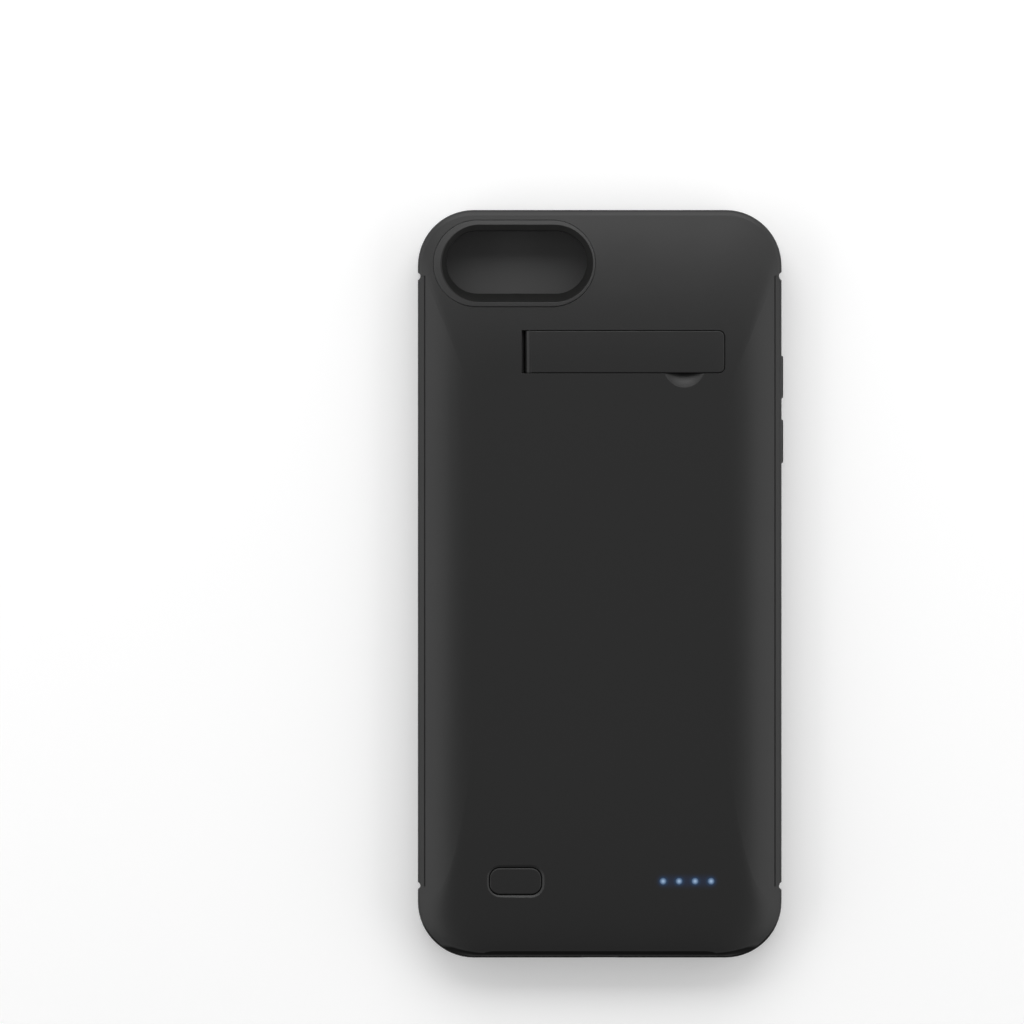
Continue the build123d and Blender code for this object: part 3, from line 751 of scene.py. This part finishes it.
def acrylicFoam():
    material, tree, place = startFinish("acrylicFoam")
    bubbles = addNode(tree, "ShaderNodeTexVoronoi", {
        "Vector": place, "Scale": perMm(tapeFinish["bubbleMm"]),
    }).outputs["Distance"]
    colour = addNode(tree, "ShaderNodeMix", {
        0: bubbles, 6: linear(tapeFinish["bubble"]), 7: linear(tapeFinish["colour"]),
    }, data_type="RGBA").outputs[2]
    bump = addNode(tree, "ShaderNodeBump", {
        "Height": bubbles, "Distance": tapeFinish["bubbleDepthMm"] / 1000,
    })
    return endFinish(material, {
        "Base Color": colour,
        "Roughness": patches(tree, place, tapeFinish["patchMm"], tapeFinish["dull"], tapeFinish["smooth"]),
        "Normal": bump.outputs["Normal"],
    })


finishes = {
    softTouchPolycarbonate: ["back_shell", "kickstand_leaf", "power_button"],
    mouldedTpu: ["bumper_frame"],
    texturedAbs: ["inner_tray", "plug_base", "switch_plunger", "charging_port_tongue"],
    shadePaintedAbs: ["camera_bezel"],
    litPolycarbonate: ["light_pipe"],
    mouldedLampResin: ["status_leds"],
    solderMaskedBoard: ["main_board"],
    mouldedEpoxy: ["controller_chips"],
    pressedFerrite: ["boost_inductor"],
    firedCeramic: ["board_capacitors"],
    drawnSteel: ["tact_switch", "charging_port_shell", "plug_tongue"],
    blackenedSteel: ["kickstand_pin"],
    flashedGold: ["charging_port_contacts", "plug_contacts"],
    polyimideFilm: ["plug_flex"],
    laminatedFoil: ["battery_cell"],
    rolledNickel: ["battery_tabs"],
    acrylicFoam: ["cell_tape"],
}
for makeFinish, pieceNames in finishes.items():
    madeFinish = makeFinish()
    for pieceName in pieceNames:
        nodes[pieceName].data.materials.clear()
        nodes[pieceName].data.materials.append(madeFinish)
print("finishes made:", len(finishes))

# Floor: a pale sheet that the case lies on, lifted to white for the eye and for reflections. Under the pocket
# it carries a painted shade and is not lifted, so that the empty camera window reads as a dim opening.
floorSheet = {
    "sizeM": 30.0,
    "dropMm": 0.05,  # below the rim that the case lies on
    "colour": "#f4f4f4",
    "lift": 0.17,
    "shade": "#5c5c5c",
    "shadeCoreMm": (28.0, 70.8),  # half sizes of the shade without its rounded border
    "shadeCornerMm": 10.3,
}


def paleFloor():
    half = floorSheet["sizeM"] / 2
    level = -floorSheet["dropMm"] / 1000
    mesh = bpy.data.meshes.new("floorSheet")
    corners = [(-half, -half, level), (half, -half, level), (half, half, level), (-half, half, level)]
    mesh.from_pydata(corners, [], [(0, 1, 2, 3)])
    floor = bpy.data.objects.new("floorSheet", mesh)
    bpy.context.scene.collection.objects.link(floor)
    material, tree, place = startFinish("paleFloor")
    outside = addNode(tree, "ShaderNodeMath", {
        0: fromCore(tree, place, (0, 0), floorSheet["shadeCoreMm"]), 1: floorSheet["shadeCornerMm"] / 1000,
    }, operation="GREATER_THAN").outputs[0]
    # painted shade under the pocket, pale floor outside it
    colour = addNode(tree, "ShaderNodeMix", {
        0: outside, 6: linear(floorSheet["shade"]), 7: linear(floorSheet["colour"]),
    }, data_type="RGBA").outputs[2]
    rays = addNode(tree, "ShaderNodeLightPath").outputs
    seen = rays["Is Camera Ray"]
    for ray in ("Is Glossy Ray", "Is Transmission Ray"):
        seen = addNode(tree, "ShaderNodeMath", {0: seen, 1: rays[ray]}, operation="MAXIMUM").outputs[0]
    strength = outside
    for factor in (seen, floorSheet["lift"]):
        strength = addNode(tree, "ShaderNodeMath", {0: strength, 1: factor}, operation="MULTIPLY").outputs[0]
    paper = addNode(tree, "ShaderNodeBsdfDiffuse", {"Color": colour})
    glow = addNode(tree, "ShaderNodeEmission", {"Strength": strength})
    both = addNode(tree, "ShaderNodeAddShader", {0: paper.outputs[0], 1: glow.outputs[0]})
    addNode(tree, "ShaderNodeOutputMaterial", {"Surface": both.outputs[0]})
    mesh.materials.append(material)


paleFloor()

# Soft panels: one at each side and one at the camera end, none over the flat of the back.
panels = {
    "leftPanel": {"place": (-0.95, 0.0, 0.5), "size": (1.6, 0.78), "watts": 5.25},
    "rightPanel": {"place": (0.95, 0.0, 0.5), "size": (1.6, 0.78), "watts": 5.25},
    "endPanel": {"place": (0.0, 0.8, 0.67), "size": (1.4, 0.72), "watts": 8.5},
}
for panelName, panel in panels.items():
    lamp = bpy.data.lights.new(panelName, "AREA")
    lamp.shape = "RECTANGLE"
    lamp.size, lamp.size_y = panel["size"]
    lamp.energy = panel["watts"]
    holder = bpy.data.objects.new(panelName, lamp)
    holder.location = panel["place"]
    holder.rotation_euler = (-Vector(panel["place"])).to_track_quat("-Z", "Y").to_euler()
    bpy.context.scene.collection.objects.link(holder)

room = {"colour": "#ffffff", "strength": 0.25}
world = bpy.data.worlds.new("paleRoom")
bpy.context.scene.world = world
world.use_nodes = True
backdrop = world.node_tree.nodes["Background"]
backdrop.inputs["Color"].default_value = linear(room["colour"])
backdrop.inputs["Strength"].default_value = room["strength"]
print("floor and", len(panels), "panels set")

# Camera: straight above the back, far enough away that the sides stay hidden.
shot = {
    "imagePx": 1024,
    "pxPerMm": 4.49,
    "middlePx": (599.7, 583.75),  # where the middle of the case lands
    "lensMm": 250.0,
    "sensorMm": 36.0,
    "planeMm": 7.3,  # height at which that scale holds
    "reachM": 100.0,
}
camera = bpy.data.cameras.new("camera")
camera.lens = shot["lensMm"]
camera.sensor_width = shot["sensorMm"]
camera.clip_end = shot["reachM"]
distanceMm = shot["lensMm"] / shot["sensorMm"] * shot["imagePx"] / shot["pxPerMm"]
cameraHolder = bpy.data.objects.new("camera", camera)
cameraHolder.location = (
    (shot["imagePx"] / 2 - shot["middlePx"][0]) / shot["pxPerMm"] / 1000,
    (shot["middlePx"][1] - shot["imagePx"] / 2) / shot["pxPerMm"] / 1000,
    (distanceMm + shot["planeMm"]) / 1000,
)
bpy.context.scene.collection.objects.link(cameraHolder)
bpy.context.scene.camera = cameraHolder
bpy.context.scene.view_settings.view_transform = "Standard"
print("camera at", [round(v, 4) for v in cameraHolder.location])
